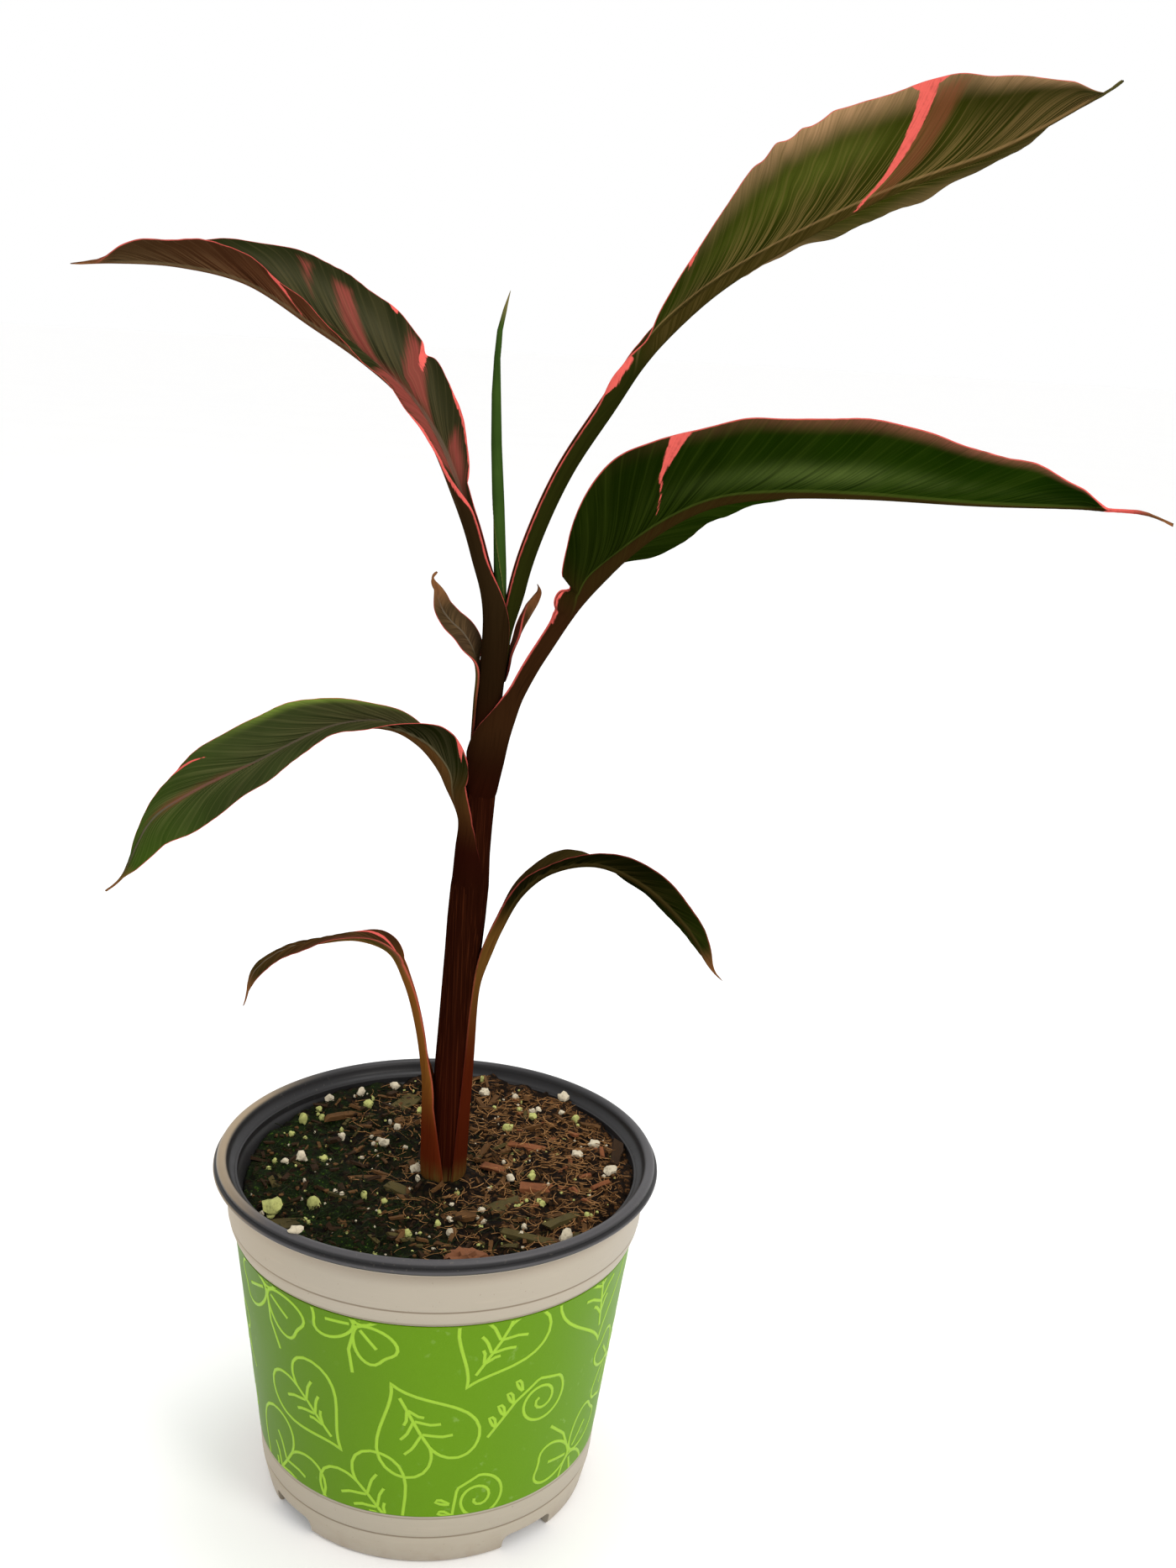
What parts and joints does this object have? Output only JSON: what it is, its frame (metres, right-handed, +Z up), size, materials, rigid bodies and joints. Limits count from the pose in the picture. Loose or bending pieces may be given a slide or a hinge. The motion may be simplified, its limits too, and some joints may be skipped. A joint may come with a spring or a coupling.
{
  "type": "banana plant",
  "caption": "Young banana plant with arching pink-marked green leaves on a dark stem, in a round white nursery pot with a green printed sleeve and a dark rim.",
  "frame": {"origin": "on the pot's axis, at its flat underside", "axes": "+Z up the plant; -Y towards the viewer of the picture; +X to the viewer's right, towards the longest leaf"},
  "size_m": [0.331, 0.152, 0.4809],
  "materials": {
    "pot_white": "warm white matte plastic",
    "pot_dark": "slate-dark satin plastic",
    "sleeve_green": "green print, half matte",
    "soil_brown": "moist bark and peat mix",
    "stem_maroon": "dark maroon leaf sheaths, half gloss",
    "petiole_brown": "brown-green leaf stalk, half gloss",
    "leaf_green": "dark green leaf with pink marks, half gloss"
  },
  "bodies": {
    "root": {"pot_wall": "pot_white", "pot_liner": "pot_dark", "label_sleeve": "sleeve_green", "soil": "soil_brown", "pseudostem": "stem_maroon", "leaf_1_petiole": "petiole_brown", "leaf_1_blade_inner": "leaf_green", "leaf_1_blade_outer": "leaf_green", "leaf_2_petiole": "petiole_brown", "leaf_2_blade_inner": "leaf_green", "leaf_2_blade_outer": "leaf_green", "leaf_3_petiole": "petiole_brown", "leaf_3_blade_inner": "leaf_green", "leaf_3_blade_outer": "leaf_green", "leaf_4_petiole": "petiole_brown", "leaf_4_blade_inner": "leaf_green", "leaf_4_blade_outer": "leaf_green", "leaf_5_petiole": "petiole_brown", "leaf_5_blade_inner": "leaf_green", "leaf_5_blade_outer": "leaf_green", "leaf_6_petiole": "petiole_brown", "leaf_6_blade_inner": "leaf_green", "leaf_6_blade_outer": "leaf_green", "leaf_small_left": "petiole_brown", "leaf_small_right": "petiole_brown", "rolled_leaf": "leaf_green"}
  },
  "joints": []
}
